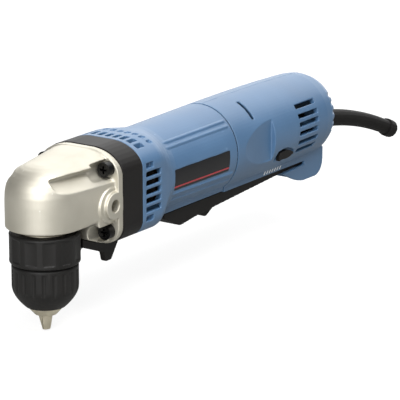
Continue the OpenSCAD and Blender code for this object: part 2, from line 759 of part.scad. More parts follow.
/* Motor bracket and motor housing */
bracket_wall = 3;
bracket_proud = 0.3;
bracket_hw = flange_hw + bracket_proud;
bracket_hh = flange_hh + bracket_proud;
shoulder_inset = 16.2;
shoulder_x = motor_x + shoulder_inset;
shoulder_l = 18;
vent_count = 7;
vent_pitch = 4.85;
vent_drop = 1.7;
vent_h = 3;
vent_skin = 1.6;
vent_x = 3.2;
vent_l = 13.2;
top_vent_count = 9;
top_vent_pitch = 4.8;
top_vent_l = 6.6;
top_mark_inset = 11;
top_mark_l = 3.6;
top_mark_t = 0.8;
top_vent_w = 2.9;
rib_r = 1.1;
rib_inset = 12;
rib_x0 = shoulder_x + rib_inset;
rib_end = 3.5;
rib_x1 = seam_x - rib_end;
plate_inset = 32.4;
plate_x = motor_x + plate_inset;
plate_end_inset = 8.4;
plate_l = seam_x - plate_end_inset - plate_x;
plate_drop = 7.9;
plate_z = motor_z - plate_drop;
plate_h = 11.8;
plate_t = 0.5;
seam_gap = 1.1;
seam_sink = 0.7;
skirt_lead = 4;
skirt_step = 1;
edge_vent_share = 0.5;
edge_vent_t = 3;
baffle_hole_share = 0.8;
rib_angles = [34, 23.5, -39, -47];

module motor_bracket() color(moulded_black) difference() {
    union() {
        prism_x(rounded(bracket_hw, bracket_hh, flange_corner_r, arc_n, motor_z, flange_top), bracket_x,
            bracket_l);
        rod_x(front_brg_r + bracket_wall, motor_x - over, front_brg_x + front_brg_w - motor_x + over);
    }
    // Drive gear space and the motor pinion below it
    rod_x(drive_c, bracket_x - over, bulkhead_x - bracket_x + over, 0, pinion_z);
    rod_x(pinion_brg_r, bracket_x - over, bulkhead_x - bracket_x + over);
    rod_x(pinion_bush_r, bulkhead_x - over, pinion_bush_l + over, 0, pinion_z);
    rod_x(front_brg_r, front_brg_x, front_brg_w + over);
    rod_x(shaft_r + gap, bulkhead_x - over, bracket_l);
    // Air passages round the bearing boss
    for (a = [0, 180]) translate([0, 0, motor_z]) rotate([a, 0, 0])
        block([bulkhead_x, -bracket_hw + bracket_wall + over, -screw_dz / 2],
            [motor_x + over, -front_brg_r - bracket_wall - gap, screw_dz / 2]);
    at_flange_screws() rod_x(flange_screw_r + fit, bracket_x - over, bracket_l + 2 * over, 0, 0);
}

// Radius of the motor housing at x
function housing_r(x) =
    motor_r + (seam_r - motor_r) * (x - shoulder_x - shoulder_l) / (seam_x - shoulder_x - shoulder_l);

// Shell sections over the shoulder: share of the way from the flange form to the round form
shoulder_shares = [[0, 0], [0.14, 0.06], [0.32, 0.26], [0.52, 0.58], [0.74, 0.86], [1, 1]];

module motor_outer() loft(concat(
    [section(motor_x, bracket_hw, bracket_hh, flange_corner_r, flange_top)],
    [for (p = shoulder_shares) let (x = shoulder_x + shoulder_l * p[0], s = p[1])
        section(x, bracket_hw + (motor_r - bracket_hw) * s, bracket_hh + (motor_r - bracket_hh) * s,
            flange_corner_r + (motor_r - flange_corner_r) * s - fit, flange_top * (1 - s))],
    [section(seam_x - seam_gap, seam_r, seam_r, seam_r - fit)]));

// Height of the housing before its shoulder at a distance from the middle plane
function crown_z(y) =
    let (ry = flange_corner_r + flange_top_w, rz = flange_corner_r + flange_top_h,
        s = max(0, abs(y) - bracket_hw + ry) / ry)
    motor_z + bracket_hh - rz * (1 - sqrt(1 - s * s));

// Rib along the tapering housing at an angle above the middle of the side
module housing_rib(angle) {
    lean = atan((seam_r - motor_r) / (seam_x - shoulder_x - shoulder_l));
    translate([0, 0, motor_z]) rotate([-angle, 0, 0])
        translate([rib_x0, housing_r(rib_x0) - rib_r / 3, 0]) rotate([0, 90, lean])
            cylinder(r = rib_r, h = rib_x1 - rib_x0);
}

// Shell of the housing between two depths over the nameplate's place
module plate_shell(proud, deep) intersection() {
    difference() {
        translate([plate_x, 0, motor_z]) rotate([0, 90, 0])
            cylinder(r1 = housing_r(plate_x) + proud, r2 = housing_r(plate_x + plate_l) + proud, h = plate_l);
        translate([plate_x, 0, motor_z]) rotate([0, 90, 0])
            cylinder(r1 = housing_r(plate_x) - deep, r2 = housing_r(plate_x + plate_l) - deep, h = plate_l);
    }
    block([plate_x, -2 * motor_r, plate_z], [plate_x + plate_l, 0, plate_z + plate_h]);
}

module motor_housing() color(moulded_blue) difference() {
    union() {
        motor_outer();
        both_sides() for (a = rib_angles) housing_rib(a);
        // Skirts beside the front of the paddle
        both_sides() block([paddle_front_x - skirt_lead, paddle_hw + gap, skirt_z + skirt_step],
            [seam_x - seam_gap, skirt_hw, motor_z - motor_r / 2]);
    }
    rod_x(motor_bore_r, motor_x - over, motor_l + 2 * over);
    plate_shell(over, plate_t);
    // Grooves that take the walls of the pressed paddle
    both_sides() block([paddle_front_x - gap, paddle_hw - paddle_wall - gap, 0],
        [seam_x + over, paddle_hw + gap, paddle_top_z + paddle_rise + gap]);
    at_flange_screws() rod_x(flange_screw_r + fit, motor_x - over, flange_screw_l - bracket_l + over, 0, 0);
    both_sides() for (i = [0 : vent_count - 1])
        let (z = motor_z - vent_drop + (i - (vent_count - 1) / 2) * vent_pitch,
            edge = i == 0 || i == vent_count - 1)
            block([motor_x + vent_x, edge ? bracket_hw - edge_vent_t : motor_bore_r / 2, z - vent_h / 2],
                [motor_x + vent_x + vent_l * (edge ? edge_vent_share : 1), bracket_hw + over,
                    z + vent_h / 2]);
    // Air space behind the side slots
    block([motor_x + vent_x, -bracket_hw + vent_skin, motor_z - vent_drop - vent_count / 3 * vent_pitch],
        [motor_x + vent_x + vent_l + vent_h, bracket_hw - vent_skin,
            motor_z - vent_drop + vent_count / 3 * vent_pitch]);
    for (i = [0 : top_vent_count - 1])
        let (y = (i - (top_vent_count - 1) / 2) * top_vent_pitch, x = motor_x + vent_x) {
            block([x, y - top_vent_w / 2, motor_z + (abs(y) + top_vent_w < screw_y ?
                sqrt(motor_bore_r * motor_bore_r - y * y) - over : bracket_hh - bracket_wall * 2)],
                [x + top_vent_l, y + top_vent_w / 2, motor_z + bracket_hh + over]);
            // Shallow mark behind each slot
            block([x + top_mark_inset, y - top_vent_w / 2, crown_z(y) - top_mark_t],
                [x + top_mark_inset + top_mark_l, y + top_vent_w / 2, motor_z + bracket_hh + over]);
        }
}

module nameplate() color(moulded_black) plate_shell(fit, plate_t - fit);

module baffle_plate() color(moulded_black)
    pipe_x(motor_bore_r, fan_r * baffle_hole_share, baffle_x, baffle_t);

module fan() color(moulded_black) {
    hub_share = 0.36;
    pipe_x(fan_r * hub_share, shaft_r, fan_x, fan_l);
    pipe_x(fan_r, shaft_r, fan_x, fan_plate_t);
    translate([0, 0, motor_z]) for (i = [0 : fan_blades - 1]) rotate([i * 360 / fan_blades, 0, 0])
        block([fan_x, fan_r * hub_share - over, -fan_plate_t / 2],
            [fan_x + fan_l - over, fan_r - gap, fan_plate_t / 2]);
}

/* Motor */
slot_count = 12;
slot_w = 2.4;
slot_depth_share = 0.42;
end_turn_l = 5.5;
insulator_gap = 0.2;
pole_t = 1.2;
coil_r0 = armature_r + pole_t;
pole_angle = 62;
coil_angle = 56;
coil_margin = 1;
segment_count = 24;
segment_gap = 0.5;
brush_w = 5;
brush_h = 7;
holder_wall = 1;
pinion_overhang = 1;
motor_pinion_l = drive_gear_w + pinion_overhang;

module armature_shaft() color(bright_steel) {
    rod_x(shaft_r, front_brg_x - gap, commutator_x + commutator_l - front_brg_x + gap);
    rod_x(rear_seat_r, commutator_x + commutator_l, rear_brg_x + rear_brg_w - commutator_x - commutator_l);
    rod_x((motor_teeth / 2 - 1 + motor_shift_share + fit) * drive_m, drive_gear_x - gap,
        front_brg_x - drive_gear_x + gap);
    translate([0, 0, motor_z]) prism_x(gear_outline(motor_teeth, drive_m,
        (motor_teeth / 2 - 1 - tooth_clear_share + motor_shift_share) * drive_m,
        (motor_teeth / 2 + motor_add_share) * drive_m,
        (PI / 2 + 2 * motor_shift_share * tan(pressure)) * drive_m - backlash, 90),
        drive_gear_x - gap, motor_pinion_l);
}

module armature_core() color(dark_steel) difference() {
    pipe_x(armature_r, shaft_r, field_x, field_l);
    translate([0, 0, motor_z]) for (i = [0 : slot_count - 1]) rotate([i * 360 / slot_count, 0, 0])
        block([field_x - over, armature_r * (1 - slot_depth_share), -slot_w / 2],
            [field_x + field_l + over, armature_r + over, slot_w / 2]);
}

module armature_windings() color(copper) {
    r0 = armature_r * (1 - slot_depth_share);
    for (x = [field_x - end_turn_l, field_x + field_l]) pipe_x(armature_r - over, shaft_r, x, end_turn_l);
    translate([0, 0, motor_z]) for (i = [0 : slot_count - 1]) rotate([i * 360 / slot_count, 0, 0])
        block([field_x - end_turn_l / 2, r0 + insulator_gap, -slot_w / 2 + insulator_gap],
            [field_x + field_l + end_turn_l / 2, armature_r - over, slot_w / 2 - insulator_gap]);
}

module commutator() color(copper) difference() {
    pipe_x(commutator_r, shaft_r, commutator_x, commutator_l);
    translate([0, 0, motor_z]) for (i = [0 : segment_count - 1]) rotate([i * 360 / segment_count, 0, 0])
        block([commutator_x - over, commutator_r - over, -segment_gap / 2],
            [commutator_x + commutator_l + over, commutator_r + over, segment_gap / 2]);
}

module front_bearing_outer() color(bright_steel) translate([front_brg_x, 0, motor_z]) rotate([0, 90, 0])
    bearing_outer(shaft_r, front_brg_r, front_brg_w);

module front_bearing_inner() color(bright_steel) translate([front_brg_x, 0, motor_z]) rotate([0, 90, 0])
    bearing_inner(shaft_r, front_brg_r, front_brg_w);

module rear_bearing_outer() color(bright_steel) translate([rear_brg_x, 0, motor_z]) rotate([0, 90, 0])
    bearing_outer(rear_seat_r, rear_brg_r, rear_brg_w);

module rear_bearing_inner() color(bright_steel) translate([rear_brg_x, 0, motor_z]) rotate([0, 90, 0])
    bearing_inner(rear_seat_r, rear_brg_r, rear_brg_w);

// Sector of a ring about the motor axis, from x over length l, about a middle angle
module sector_x(ri, ro, x, l, mid, half) {
    translate([x, 0, motor_z]) rotate([mid, 0, 0]) rotate([0, 90, 0]) rotate(90 - half)
        rotate_extrude(angle = 2 * half) translate([ri, 0]) square([ro - ri, l]);
}

module field_core() color(dark_steel) difference() {
    pipe_x(field_r, armature_r + gap, field_x, field_l);
    for (a = [0, 180]) {
        sector_x(coil_r0, field_r - bracket_wall, field_x - over, field_l + 2 * over, a,
            90 - pole_angle + coil_angle / 2);
        sector_x(armature_r - over, coil_r0 + pole_t / 2, field_x - over, field_l + 2 * over, a,
            90 - pole_angle);
    }
}

module field_coils() color(copper) for (a = [90, -90]) difference() {
    sector_x(coil_r0 + insulator_gap, field_r - bracket_wall - insulator_gap,
        field_x - end_turn_l, field_l + 2 * end_turn_l, a, pole_angle - coil_margin);
    sector_x(coil_r0 - over, field_r + over, field_x - insulator_gap, field_l + 2 * insulator_gap,
        a, pole_angle - coil_angle / 2 + coil_margin);
}

// Places of the two brushes
module at_brushes() {
    for (a = [0, 180]) translate([commutator_x + commutator_l / 2, 0, motor_z]) rotate([a, 0, 0]) children();
}

module brush_holders() color(brass) at_brushes() difference() {
    block([-brush_w / 2 - holder_wall, commutator_r + 4 * gap, -brush_h / 2 - holder_wall],
        [brush_w / 2 + holder_wall, motor_bore_r - over, brush_h / 2 + holder_wall]);
    block([-brush_w / 2, commutator_r, -brush_h / 2],
        [brush_w / 2, motor_bore_r - over - holder_wall, brush_h / 2]);
}

module carbon_brushes() color(moulded_black) at_brushes()
    block([-brush_w / 2 + insulator_gap, commutator_r + gap, -brush_h / 2 + insulator_gap],
        [brush_w / 2 - insulator_gap, motor_bore_r - holder_wall - 4 * over, brush_h / 2 - insulator_gap]);

module rear_bearing_plate() color(moulded_black) difference() {
    union() {
        rod_x(motor_bore_r - fit, rear_plate_x, rear_plate_t);
        // Rim that shows between the housing and the cover
        difference() {
            rod_x(seam_r - seam_sink, seam_x - seam_gap + fit, seam_gap - 2 * fit);
            block([seam_x - 2 * seam_gap, -skirt_hw, 0], [seam_x + seam_gap, skirt_hw, roof_z]);
        }
        rod_x(rear_brg_r + bracket_wall, rear_plate_x, rear_brg_x + rear_brg_w + over - rear_plate_x);
        // Arms that carry the brush holders
        at_brushes() for (s = [0, 1]) mirror([0, 0, s])
            block([-brush_w / 2 - holder_wall, commutator_r + brush_w, brush_h / 2 + holder_wall],
                [rear_plate_x - commutator_x - commutator_l / 2 + over, motor_bore_r - bracket_wall,
                    brush_h / 2 + bracket_wall]);
    }
    rod_x(rear_brg_r, rear_brg_x, rear_brg_w);
    rod_x(rear_seat_r + gap, rear_plate_x - over, 2 * cover_l);
    for (a = [60, 120, 240, 300]) translate([0, 0, motor_z]) rotate([a, 0, 0])
        rod_x(bracket_wall, rear_plate_x - over, rear_plate_t + 2 * over,
            (motor_bore_r + rear_brg_r + bracket_wall) / 2, 0);
}

/* Rear cover */
cover_shares = [[0, 0.985], [0.16, 0.994], [0.35, 1], [0.5, 0.998], [0.65, 0.99], [0.78, 0.976],
    [0.87, 0.965], [0.93, 0.935], [0.972, 0.868], [1, 0.755]];
cavity_clear = 1.2;
cavity_r = cover_r - cover_wall - cavity_clear;
end_wall_l = 14;
cavity_end_x = rear_x - end_wall_l;
end_step = 3.2;
cavity_end_r = cavity_r - end_step;
channel_hw = paddle_hw + gap;
pin_skin = 0.6;
paddle_pin_hw = skirt_hw - pin_skin;
foot_l = 47;
foot_x0 = rear_x - foot_l;
foot_inset = 4.5;
foot_x1 = rear_x - foot_inset;
foot_round = 9;
slit_h = 2.2;
slit_inset = 24.5;
slit_end_x = rear_x - slit_inset;
scoop_inset = 4.6;
scoop_x0 = seam_x + scoop_inset;
scoop_l = 32.4;
scoop_x1 = scoop_x0 + scoop_l;
scoop_depth = 3.2;
scoop_wall = 1.6;
scoop_low = 11.5;
scoop_high = 12.5;
arc_slot_inset = 20;
arc_slot_x = seam_x + arc_slot_inset;
arc_slot_w = 2.6;
slot_skin = 1.2;
rear_vent_inset = 63.3;
rear_vent_x = seam_x + rear_vent_inset;
rear_vent_l = 21;
rear_vent_h = 2.7;
rear_vent_angles = [32.5, 19, 8, -4, -16.5, -28.2];
notch_r = 1.6;
notch_l = 9;
notch_inset = 3;
notch_proud = 0.6;
notch_place = cover_shares[len(cover_shares) - 2];
notch_lean = 30;
notch_angles = [33.5, 20.5, 7.5, -6, -19, -33, -47];
window_l = 12;
window_w = 8;
arc_slot_low = 36;
arc_slot_turn = 31;
cover_screw_r = 1.6;
cover_screw_head_r = 3.2;
cover_screw_head_h = 2.4;
cover_boss_r = 5;
cover_boss_l = 6;
clamp_post_r = 3;
front_screw_inset = 9;
front_screw_rise = 18.2;
rear_screw_inset = 18.8;
rear_screw_rise = 16.4;
foot_screw_rise = 4.6;
low_screw_inset = 14.5;
low_screw_drop = 10.8;
cover_screw_places = [[seam_x + front_screw_inset, motor_z + front_screw_rise],
    [rear_x - rear_screw_inset, motor_z + rear_screw_rise],
    [rear_x - rear_screw_inset, foot_z + foot_screw_rise],
    [seam_x + low_screw_inset, motor_z - low_screw_drop]];
lever_inset = 52;
lever_x = seam_x + lever_inset;
lever_drop = 11.2;
lever_z = motor_z - lever_drop;
recess_l = 20;
recess_h = 8.4;
recess_shares = [[-0.575, -0.536], [-0.57, 0], [-0.495, 0.393], [-0.315, 0.488], [-0.025, 0.488],
    [0.275, 0.25],
    [0.42, 0.036], [0.41, -0.167], [0.15, -0.405], [-0.05, -0.476], [-0.44, -0.43]];
recess_depth = 4.4;
recess_y = -cover_r + recess_depth;
knob_t = 2.4;
knob_l_share = 0.74;
knob_h_share = 0.6;
lever_turn = 9;
guard_below = 7.3;
guard_z = motor_z - guard_below;
guard_rim = 2.2;
guard_collar_r = guard_r + guard_rim;
guard_collar_t = 2.4;
guard_seat_inset = 7.5;
guard_seat_x = rear_x - guard_seat_inset;
tab_t = 2.2;

module cover_outer() {
    loft([for (p = cover_shares) let (r = cover_r * p[1])
        section(seam_x + cover_l * p[0], r, r, r - fit)]);
    both_sides() block([seam_x, 0, skirt_z], [slit_end_x, skirt_hw, motor_z]);
    // Foot below the end of the paddle
    prism_y(concat(
        arc(foot_x1 - foot_round, foot_z + foot_round, foot_round, -90, 0, arc_n),
        [[foot_x1, motor_z - foot_round], [slit_end_x, motor_z - foot_round], [slit_end_x, skirt_z - slit_h],
            [foot_x0, skirt_z - slit_h - over]],
        [for (i = [1 : arc_n - 1]) let (s = i / arc_n)
            [foot_x0 + (foot_x1 - foot_x0 - 2 * foot_round) * s,
                skirt_z - slit_h - over - (skirt_z - slit_h - over - foot_z) * sin(90 * s)]]),
        -skirt_hw, skirt_hw);
}

module cover_cavity() {
    rod_x(cavity_r, seam_x - over, cavity_end_x - seam_x + over);
    rod_x(cavity_end_r, cavity_end_x - over, guard_seat_x - cavity_end_x + over);
}

// Outline of the lever recess, drawn in by shares of its length and height
function lever_outline(l_share, h_share) = [for (p = recess_shares)
    [lever_x + p[0] * recess_l * l_share, lever_z + p[1] * recess_h * h_share]];

// Slanted recess round the reversing lever, on the right side
module lever_recess() {
    prism_y(lever_outline(1, 1), -2 * cover_r, recess_y);
}

// Scooped finger rest on both sides
module scoops() both_sides() translate([0, 0, motor_z - scoop_low])
    linear_extrude(height = scoop_low + scoop_high) polygon(concat(
        [for (i = [0 : arc_n]) let (s = i / arc_n)
            [scoop_x0 + scoop_l * s, cover_r - scoop_depth * sin(90 * s)]],
        [[scoop_x1, cover_r + over], [scoop_x0, cover_r + over]]));

// Slit between the foot and the end of the paddle
module foot_slit()
    block([foot_x0, -channel_hw, skirt_z - slit_h - 2 * over], [foot_x1 - cover_wall, channel_hw, roof_z]);

module cover_whole() difference() {
    cover_outer();
    difference() {
        cover_cavity();
        // Roof over the paddle channel
        block([seam_x - over, -cavity_r, 0], [cavity_end_x + over, cavity_r, roof_z + cover_wall]);
        // Wall behind each finger rest
        both_sides() block([scoop_x0, cover_r - scoop_depth - scoop_wall, motor_z - scoop_low],
            [scoop_x1 + scoop_wall, cover_r, motor_z + scoop_high]);
    }
    // Channel of the paddle, open below as far as the foot
    block([seam_x - over, -channel_hw, 0], [slit_end_x - over, channel_hw, roof_z]);
    foot_slit();
    // Spring and plunger window in the roof
    block([plunger_x - window_l / 2, -window_w / 2, roof_z - over],
        [plunger_x + window_l / 2, window_w / 2, roof_z + cover_wall + over]);
    // Hollow of the foot
    block([slit_end_x, -channel_hw, foot_z + cover_wall], [foot_x1 - cover_wall, channel_hw, skirt_z]);
    scoops();
    // Air slots of the motor and the switch
    both_sides() {
        translate([arc_slot_x, 0, motor_z]) rotate([arc_slot_low + arc_slot_turn, 0, 0]) rotate([0, 90, 0])
            rotate(90 - arc_slot_turn)
            rotate_extrude(angle = arc_slot_turn) translate([cavity_r - over, 0]) {
                square([cover_r, arc_slot_w]);
                square([cover_r - cavity_r - slot_skin + over, arc_slot_w + cover_wall]);
            }
        for (a = rear_vent_angles) translate([0, 0, motor_z]) rotate([a, 0, 0])
            block([rear_vent_x, cavity_r - 2 * cover_wall, -rear_vent_h / 2],
                [rear_vent_x + rear_vent_l, cover_r + over, rear_vent_h / 2]);
        for (a = notch_angles) translate([0, 0, motor_z]) rotate([a, 0, 0])
            translate([rear_x - notch_inset, cover_r * notch_place[1] + notch_proud, 0])
                rotate([0, 90, -notch_lean]) cylinder(r = notch_r, h = notch_l, center = true, $fn = 24);
    }
    lever_recess();
    rod_y(tab_t + gap, -cover_r, cover_r, lever_x, lever_z);
    // Seat of the cord guard
    rod_x(guard_r + gap, guard_seat_x - over, rear_x, 0, guard_z);
    rod_x(guard_collar_r, guard_seat_x - over, guard_collar_t + over, 0, guard_z);
    rod_y(paddle_pin_r, -paddle_pin_hw, 2 * paddle_pin_hw, pivot_x, pivot_z);
}

// Bosses of the cover screws
module cover_bosses(r, y0, y1) {
    for (p = cover_screw_places) rod_y(r, y0, y1 - y0, p[0], p[1]);
}

// Room that the bosses may fill
module boss_room() difference() {
    cover_outer();
    scoops();
    foot_slit();
}

module rear_cover_right() color(moulded_blue) difference() {
    union() {
        intersection() {
            cover_whole();
            block([seam_x - over, -2 * cover_r, 0], [rear_x + over, 0, motor_z + 2 * cover_r]);
        }
        intersection() {
            union() {
                cover_bosses(cover_boss_r, -2 * cover_r, 0);
                at_clamp_screws() rod_y(clamp_post_r, -2 * cover_r, 2 * cover_r + guard_bore_r, 0, 0);
            }
            boss_room();
        }
    }
    at_clamp_screws() rod_y(clamp_screw_r + fit, -3 * cord_clamp_t, 4 * cord_clamp_t + guard_bore_r, 0, 0);
    cover_bosses(cover_screw_r + fit, -skirt_hw + 2 * cover_wall, over);
}

module rear_cover_left() color(moulded_blue) difference() {
    union() {
        intersection() {
            cover_whole();
            block([seam_x - over, 0, 0], [rear_x + over, 2 * cover_r, motor_z + 2 * cover_r]);
        }
        intersection() {
            cover_bosses(cover_boss_r, 0, 2 * cover_r);
            boss_room();
        }
    }
    cover_bosses(cover_screw_r + fit, -over, 2 * cover_r);
    cover_bosses(cover_screw_head_r + gap, cover_boss_l, 2 * cover_r);
}

module cover_screws() color(dark_steel) for (p = cover_screw_places)
    translate([p[0], cover_boss_l + cover_screw_head_h, p[1]]) rotate([90, 0, 0])
        pan_screw(cover_screw_head_r, cover_screw_head_h, cover_screw_r,
            cover_boss_l + skirt_hw - 3 * cover_wall);

/* Switch and cord entry */
switch_hw = 8.5;
switch_h = 15;
switch_l = 34;
switch_front = 15;
switch_x = plunger_x - switch_front;
switch_z = roof_z + cover_wall + fit;
plunger_hw = 2.6;
plunger_l = 7;
plunger_spring_l = 5.2;
spring_wire_r = 0.25;
spring_turns = 6;
capacitor_r = 5;
capacitor_l = 14;
cord_clamp_l = 7;
clamp_inset = 5;
cord_clamp_x = cavity_end_x - cord_clamp_l - clamp_inset;
cord_clamp_hw = 8.4;
cord_clamp_t = 3;
clamp_screw_r = 1.4;

module switch_body() color(moulded_black) difference() {
    block([switch_x, -switch_hw, switch_z], [switch_x + switch_l, switch_hw, switch_z + switch_h]);
    block([plunger_x - plunger_hw - fit, -plunger_hw - fit, switch_z - over],
        [plunger_x + plunger_hw + fit, plunger_hw + fit,
            switch_z + plunger_l + plunger_rise + plunger_spring_l]);
    rod_y(tab_t + fit, -switch_hw - over, switch_hw, lever_x, lever_z);
}

module switch_plunger() color(bright_steel)
    block([plunger_x - plunger_hw, -plunger_hw, roof_z + gap - plunger_rise],
        [plunger_x + plunger_hw, plunger_hw, switch_z + plunger_l]);

module plunger_spring() color(bright_steel) translate([plunger_x, 0, switch_z + plunger_l + gap])
    coil(plunger_hw - 2 * gap, spring_wire_r, plunger_spring_l + plunger_rise - 2 * gap, spring_turns);

module reversing_lever() color(moulded_black) {
    knob_y = recess_y - gap - knob_t;
    rod_y(tab_t, knob_y + knob_t / 2, -switch_hw + over - knob_y - knob_t / 2, lever_x, lever_z);
    prism_y(lever_outline(knob_l_share, knob_h_share), knob_y, knob_y + knob_t);
}

module capacitor() color(moulded_black)
    rod_x(capacitor_r, switch_x + switch_l / 2, capacitor_l, 0, switch_z + switch_h + capacitor_r + fit);

// Places of the two screws of the cord clamp
module at_clamp_screws() {
    for (s = [-1, 1]) translate([cord_clamp_x + cord_clamp_l / 2, 0,
        guard_z + s * (guard_bore_r + 2 * clamp_screw_r)]) children();
}

module cord_clamp() color(moulded_black) difference() {
    block([cord_clamp_x, guard_bore_r, guard_z - cord_clamp_hw],
        [cord_clamp_x + cord_clamp_l, guard_bore_r + cord_clamp_t, guard_z + cord_clamp_hw]);
    at_clamp_screws() rod_y(clamp_screw_r + fit, 0, guard_bore_r + 2 * cord_clamp_t, 0, 0);
}

module clamp_screws() color(dark_steel) at_clamp_screws()
    translate([0, guard_bore_r + cord_clamp_t + clamp_screw_r, 0]) rotate([90, 0, 0])
        pan_screw(2 * clamp_screw_r, clamp_screw_r, clamp_screw_r, 3 * cord_clamp_t);

/* Cord guard */
guard_l = 107.9;
guard_lead = 0.5;
guard_drop = 25;
guard_power_share = 1.9;
guard_rings = 22;
guard_sides = 14;
guard_tip_share = 0.8;
guard_bead_share = 1;
guard_bead_l = 6;

// Middle line of the guard: height at a distance behind its seat
function guard_point(s) =
    [guard_seat_x - guard_lead + guard_l * s, 0, guard_z - guard_drop * pow(s, guard_power_share)];
function guard_slope(s) =
    -guard_drop * guard_power_share * pow(max(s, 0.0001), guard_power_share - 1) / guard_l;
function guard_ring(s, r) =
    let (p = guard_point(s), a = atan(guard_slope(s)))
    [for (j = [0 : guard_sides - 1]) let (b = -360 * j / guard_sides)
        p + [-r * sin(b) * sin(a), r * cos(b), r * sin(b) * cos(a)]];
// Radius of the guard along its length, with a bead at its end
function guard_radius(s) =
    guard_r * (s > 1 - guard_bead_l / guard_l ? guard_bead_share : 1 + (guard_tip_share - 1) * s);

module cord_guard() color(moulded_black) {
    stations = concat([for (i = [0 : guard_rings]) (1 - guard_bead_l / guard_l) * i / guard_rings],
        [1 - guard_bead_l / guard_l + fit / guard_l, 1]);
    loop_loft(concat(
        [for (s = stations) guard_ring(s, guard_radius(s))],
        [for (i = [len(stations) - 1 : -1 : 0]) guard_ring(stations[i], guard_bore_r)]));
    pipe_x(guard_collar_r - fit, (guard_r + guard_bore_r) / 2, guard_seat_x, guard_collar_t, 0, guard_z);
}

/* Paddle and lock lever */
chin_inset = 16;
paddle_chin_x = paddle_front_x + chin_inset;
chin_drop = 10.4;
paddle_chin_z = skirt_z - chin_drop;
paddle_chin_r = 4;
chin_rise = 1.7;
lip_drop = 3.2;
step_inset = 3;
paddle_step_x = lock_x - step_inset;
step_drop = 7.4;
paddle_step_z = skirt_z - step_drop;
tail_inset = 6;
paddle_tail_x = foot_x0 + tail_inset;
tail_drop = 0.8;
paddle_tail_z = skirt_z - slit_h - tail_drop;
paddle_eye_r = 3;
paddle_top_z = skirt_z - gap;
paddle_slot_l = 14;
lock_slot_l = 18;
post_hw = 4;
lock_turn = 25;
lock_pin_r = 1;
lock_eye_r = 2.1;
// Forward and rear end of the lock lever and its middle: place, drop and radius
lock_lobes = [[-4.6, 4, 1.9], [0, 5, 2.9], [5.4, 2.9, 2.2]];
lock_pin_rise = 0.3;
lock_pin_z = paddle_step_z + lock_pin_rise;
lock_ear_t = 3;

// Side view of the paddle, drawn in by an inset
function paddle_outline(inset) = concat(
    [[pivot_x, pivot_z - paddle_eye_r + inset], [paddle_tail_x, paddle_tail_z + inset],
        [paddle_step_x, paddle_step_z + inset],
            [paddle_chin_x + paddle_slot_l, paddle_chin_z + chin_rise + inset]],
    arc(paddle_chin_x, paddle_chin_z + paddle_chin_r + inset, paddle_chin_r, -80, -125, 4),
    [[paddle_front_x + inset, skirt_z - lip_drop], [paddle_front_x + inset, motor_z], [pivot_x, motor_z]]);

// Room that the pressed paddle needs below the motor housing
module paddle_room() {
    r = motor_r + gap + paddle_rise;
    intersection() {
        rod_x(r, paddle_front_x - over, seam_x - paddle_front_x + 2 * over);
        block([paddle_front_x - over, -paddle_hw + paddle_wall, 0],
            [seam_x + over, paddle_hw - paddle_wall, motor_z]);
    }
}

module paddle() color(moulded_black) difference() {
    union() {
        difference() {
            prism_y(paddle_outline(0), -paddle_hw, paddle_hw);
            block([paddle_front_x - over, -cover_r, paddle_top_z], [pivot_x + over, cover_r, motor_z + over]);
            paddle_room();
            prism_y(paddle_outline(paddle_wall), -paddle_hw + paddle_wall, paddle_hw - paddle_wall);
        }
        // Post that lifts the switch plunger
        intersection() {
            block([plunger_x - post_hw, -post_hw, paddle_chin_z],
                [plunger_x + post_hw, post_hw, roof_z - plunger_rise]);
            prism_y(paddle_outline(0), -paddle_hw, paddle_hw);
        }
        rod_y(paddle_eye_r, -paddle_hw, 2 * paddle_hw, pivot_x, pivot_z);
        // Ears of the lock lever pin
        both_sides() rod_y(lock_eye_r, lock_hw, lock_ear_t, lock_x, lock_pin_z);
    }
    rod_y(paddle_pin_r + fit, -paddle_hw - over, 2 * (paddle_hw + over), pivot_x, pivot_z);
    // Slot and pin hole of the lock lever
    block([lock_x - lock_slot_l / 2, -lock_hw - gap, 0],
        [lock_x + lock_slot_l / 2, lock_hw + gap, motor_z]);
    rod_y(lock_pin_r, -lock_hw - lock_ear_t, 2 * (lock_hw + lock_ear_t), lock_x, lock_pin_z);
}

module paddle_pin() color(bright_steel)
    rod_y(paddle_pin_r, -paddle_pin_hw + fit, 2 * (paddle_pin_hw - fit), pivot_x, pivot_z);

module lock_lever() color(moulded_black) difference() {
    union() {
        rod_y(lock_eye_r, -lock_hw, 2 * lock_hw, lock_x, lock_pin_z);
        hull() {
            for (p = lock_lobes) rod_y(p[2], -lock_hw, 2 * lock_hw, lock_x + p[0], lock_pin_z - p[1]);
        }
    }
    rod_y(lock_pin_r + fit, -lock_hw - over, 2 * (lock_hw + over), lock_x, lock_pin_z);
}

module lock_pin() color(bright_steel)
    rod_y(lock_pin_r, -lock_hw - lock_ear_t, 2 * (lock_hw + lock_ear_t), lock_x, lock_pin_z);

/* Lamp */
lamp_lip = 0.5;
lamp_x0 = lower_box_x - lamp_lip;
lamp_front_t = 4.6;
lamp_front_z = lower_front_z - lamp_front_t;
lamp_knee_inset = 1.4;
lamp_knee_x = head_l + lamp_knee_inset;
lamp_knee_rise = 5.6;
lamp_knee_z = lamp_z + lamp_knee_rise;
lamp_tip_l = 7.5;
lamp_tip_angles = [200, 270, 320];
lamp_tip_r = 1.8;
lamp_top_z = motor_z - bracket_hh - fit;
lens_t = 2.4;
board_t = 1.2;
lamp_fin_t = 3.2;
lens_aim = atan((lamp_front_z - lamp_knee_z) / (lamp_knee_x - lamp_x0));
lens_inset = 4.2;
lens_x = lamp_knee_x - lens_inset;
lens_z = lamp_knee_z + lens_inset * tan(lens_aim) + lens_t;

// Children at the lens, local Z pointing at the drill bit
module at_lens() {
    translate([lens_x, 0, lens_z]) rotate([0, 180 + lens_aim, 0]) children();
}

